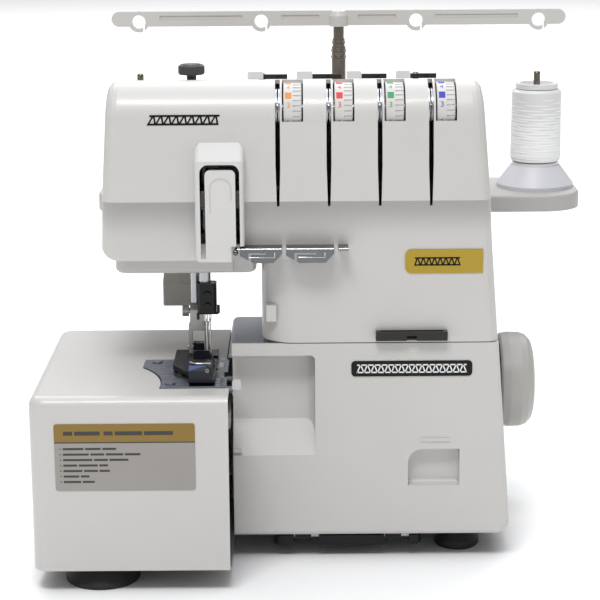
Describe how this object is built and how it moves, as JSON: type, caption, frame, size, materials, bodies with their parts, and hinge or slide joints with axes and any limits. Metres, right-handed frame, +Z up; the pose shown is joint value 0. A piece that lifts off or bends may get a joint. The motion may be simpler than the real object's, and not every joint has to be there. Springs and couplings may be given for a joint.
{
  "type": "serger overlock machine",
  "caption": "Free-arm home serger with thread dials, telescopic thread stand, hinged looper cover, sliding bed sleeve, handwheel and presser foot.",
  "frame": {"origin": "middle of the base, on the table plane", "axes": "+X to the machine's right, +Y to its back, +Z up"},
  "size_m": [0.3466, 0.2554, 0.3245],
  "materials": {
    "shell": "satin moulded plastic",
    "guide_white": "plain",
    "casting": "as cast",
    "base": "matt paint",
    "steel": "brushed",
    "bright": "polished",
    "black": "satin",
    "grey": "plain",
    "bronze": "sintered bronze",
    "motor_case": "matt paint",
    "belt": "moulded",
    "foot_rubber": "moulded",
    "lamp_glass": "frosted",
    "dial_orange": "plain",
    "dial_red": "plain",
    "dial_green": "plain",
    "dial_blue": "plain"
  },
  "bodies": {
    "machine": {"base_plate": "base", "chassis": "casting", "front_cover": "shell", "rear_cover": "shell", "head_sole": "shell", "take_up_guard": "shell", "side_cover": "shell", "bed_cover": "shell", "arm": "casting", "needle_plate": "steel", "hinge_rail": "black", "bushes": "bronze", "motor": "motor_case", "drive_belt": "belt", "lower_knife": "bright", "tension_discs": "steel", "face_guides": "bright", "seam_guide": "black", "top_guides": "guide_white", "thread_stand": "shell", "stand_posts": "steel", "cone_discs": "shell", "feet": "foot_rubber", "power_inlet": "black", "lamp": "lamp_glass", "screws": "steel"},
    "sleeve": {"sleeve_cover": "shell"},
    "door_pin": {"hinge_pin": "steel"},
    "door": {"looper_cover": "shell"},
    "drive_shaft": {"main_shaft": "steel", "handwheel": "shell"},
    "rotor": {"motor_rotor": "steel"},
    "needle_carrier": {"needle_bar": "steel", "needle_clamp": "black", "needles": "bright"},
    "presser_carrier": {"presser_bar": "steel", "presser_shank": "steel", "presser_spring": "bright"},
    "foot": {"presser_foot": "bright"},
    "lifter": {"presser_lifter": "grey"},
    "pressure_seat": {"pressure_nut": "grey"},
    "pressure_screw": {"pressure_knob": "black"},
    "needle_rocker": {"needle_lever": "steel"},
    "take_up": {"take_up_lever": "steel"},
    "feed_rear": {"feed_dog_rear": "steel"},
    "feed_front": {"feed_dog_front": "steel"},
    "looper_low": {"lower_looper": "steel"},
    "looper_high": {"upper_looper": "steel"},
    "knife": {"upper_knife": "bright"},
    "dial_1": {"thread_dial_1": "dial_orange"},
    "dial_2": {"thread_dial_2": "dial_red"},
    "dial_3": {"thread_dial_3": "dial_green"},
    "dial_4": {"thread_dial_4": "dial_blue"},
    "spool": {"thread_spool": "grey"},
    "tube_mid": {"pole_mid": "steel"},
    "tube_top": {"pole_top": "steel"},
    "bar": {"guide_bar": "black"},
    "switch": {"power_switch": "black"},
    "stitch": {"stitch_dial": "black"},
    "feed_ratio": {"feed_lever": "black"}
  },
  "joints": [
    {"name": "sleeve_slide", "type": "slide", "parent": "machine", "child": "sleeve", "axis": [-1, 0, 0], "range_m": [0, 0.125]},
    {"name": "door_slide", "type": "slide", "parent": "machine", "child": "door_pin", "axis": [1, 0, 0], "range_m": [0, 0.004]},
    {"name": "door_swing", "type": "hinge", "parent": "door_pin", "child": "door", "pos_m": [0.00725, -0.06625, 0.0134], "axis": [1, 0, 0], "range_deg": [0, 80]},
    {"name": "drive_spin", "type": "hinge", "parent": "machine", "child": "drive_shaft", "pos_m": [-0.01275, -0.01425, 0.098], "axis": [1, 0, 0], "continuous": true},
    {"name": "rotor_spin", "type": "hinge", "parent": "machine", "child": "rotor", "pos_m": [0.04725, 0.01675, 0.047], "axis": [1, 0, 0], "continuous": true},
    {"name": "needle_stroke", "type": "slide", "parent": "machine", "child": "needle_carrier", "axis": [0, 0, 1], "range_m": [-0.01, 0.013]},
    {"name": "presser_lift", "type": "slide", "parent": "machine", "child": "presser_carrier", "axis": [0, 0, 1], "range_m": [0, 0.00598], "deforming": ["presser_spring"]},
    {"name": "foot_tilt", "type": "hinge", "parent": "presser_carrier", "child": "foot", "pos_m": [-0.07875, -0.04525, 0.129], "axis": [1, 0, 0], "range_deg": [-8, 0]},
    {"name": "lifter_swing", "type": "hinge", "parent": "machine", "child": "lifter", "pos_m": [-0.08675, 0.00375, 0.2], "axis": [1, 0, 0], "range_deg": [0, 25]},
    {"name": "pressure_travel", "type": "slide", "parent": "machine", "child": "pressure_seat", "axis": [0, 0, 1], "range_m": [-0.002, 0]},
    {"name": "pressure_turn", "type": "hinge", "parent": "pressure_seat", "child": "pressure_screw", "pos_m": [-0.07875, -0.04125, 0.29], "axis": [0, 0, 1], "range_deg": [0, 480]},
    {"name": "needle_lever_rock", "type": "hinge", "parent": "machine", "child": "needle_rocker", "pos_m": [-0.05275, -0.02025, 0.222], "axis": [1, 0, 0], "range_deg": [-26, 20]},
    {"name": "take_up_rock", "type": "hinge", "parent": "machine", "child": "take_up", "pos_m": [-0.05275, -0.06825, 0.229], "axis": [1, 0, 0], "range_deg": [-16, 12.5]},
    {"name": "feed_rear_stroke", "type": "slide", "parent": "machine", "child": "feed_rear", "axis": [0, 1, 0], "range_m": [-0.0015, 0.0015]},
    {"name": "feed_front_stroke", "type": "slide", "parent": "machine", "child": "feed_front", "axis": [0, 1, 0], "range_m": [-0.0015, 0.0015]},
    {"name": "lower_looper_rock", "type": "hinge", "parent": "machine", "child": "looper_low", "pos_m": [-0.04275, -0.04625, 0.062], "axis": [0, 1, 0], "range_deg": [-5, 9]},
    {"name": "upper_looper_rock", "type": "hinge", "parent": "machine", "child": "looper_high", "pos_m": [-0.03775, -0.04625, 0.047], "axis": [0, 1, 0], "range_deg": [-4, 10]},
    {"name": "knife_rock", "type": "hinge", "parent": "machine", "child": "knife", "pos_m": [-0.05775, -0.03325, 0.093], "axis": [1, 0, 0], "range_deg": [0, 9]},
    {"name": "dial_1_turn", "type": "hinge", "parent": "machine", "child": "dial_1", "pos_m": [-0.01815, -0.06213, 0.27888], "axis": [1, 0, 0], "range_deg": [-140, 140]},
    {"name": "dial_2_turn", "type": "hinge", "parent": "machine", "child": "dial_2", "pos_m": [0.01185, -0.06213, 0.27888], "axis": [1, 0, 0], "range_deg": [-140, 140]},
    {"name": "dial_3_turn", "type": "hinge", "parent": "machine", "child": "dial_3", "pos_m": [0.04185, -0.06213, 0.27888], "axis": [1, 0, 0], "range_deg": [-140, 140]},
    {"name": "dial_4_turn", "type": "hinge", "parent": "machine", "child": "dial_4", "pos_m": [0.07185, -0.06213, 0.27888], "axis": [1, 0, 0], "range_deg": [-140, 140]},
    {"name": "spool_spin", "type": "hinge", "parent": "machine", "child": "spool", "pos_m": [0.14525, 0.09225, 0.24], "axis": [0, 0, 1], "continuous": true},
    {"name": "pole_lower_rise", "type": "slide", "parent": "machine", "child": "tube_mid", "axis": [0, 0, 1], "range_m": [0, 0.075]},
    {"name": "pole_upper_rise", "type": "slide", "parent": "tube_mid", "child": "tube_top", "axis": [0, 0, 1], "range_m": [0, 0.075]},
    {"name": "guide_bar_turn", "type": "hinge", "parent": "tube_top", "child": "bar", "pos_m": [0.01225, 0.09225, 0.3182], "axis": [0, 0, 1], "range_deg": [-90, 90]},
    {"name": "switch_rock", "type": "hinge", "parent": "machine", "child": "switch", "pos_m": [0.11105, -0.02425, 0.044], "axis": [0, 1, 0], "range_deg": [0, 9]},
    {"name": "stitch_dial_turn", "type": "hinge", "parent": "machine", "child": "stitch", "pos_m": [0.10749, 0.03175, 0.106], "axis": [1, 0, 0], "range_deg": [-150, 150]},
    {"name": "feed_lever_slide", "type": "slide", "parent": "machine", "child": "feed_ratio", "axis": [0, 0, 1], "range_m": [0, 0.012]}
  ],
  "couplings": [
    {"joint": "rotor_spin", "follows": "drive_spin", "ratio": 4},
    {"joint": "needle_lever_rock", "follows": "needle_stroke", "rad_per_m": -33},
    {"joint": "take_up_rock", "follows": "needle_stroke", "rad_per_m": -20},
    {"joint": "lifter_swing", "follows": "presser_lift", "rad_per_m": 72.9},
    {"joint": "pressure_turn", "follows": "pressure_travel", "rad_per_m": -4188},
    {"joint": "feed_front_stroke", "follows": "feed_rear_stroke", "ratio": 1}
  ]
}
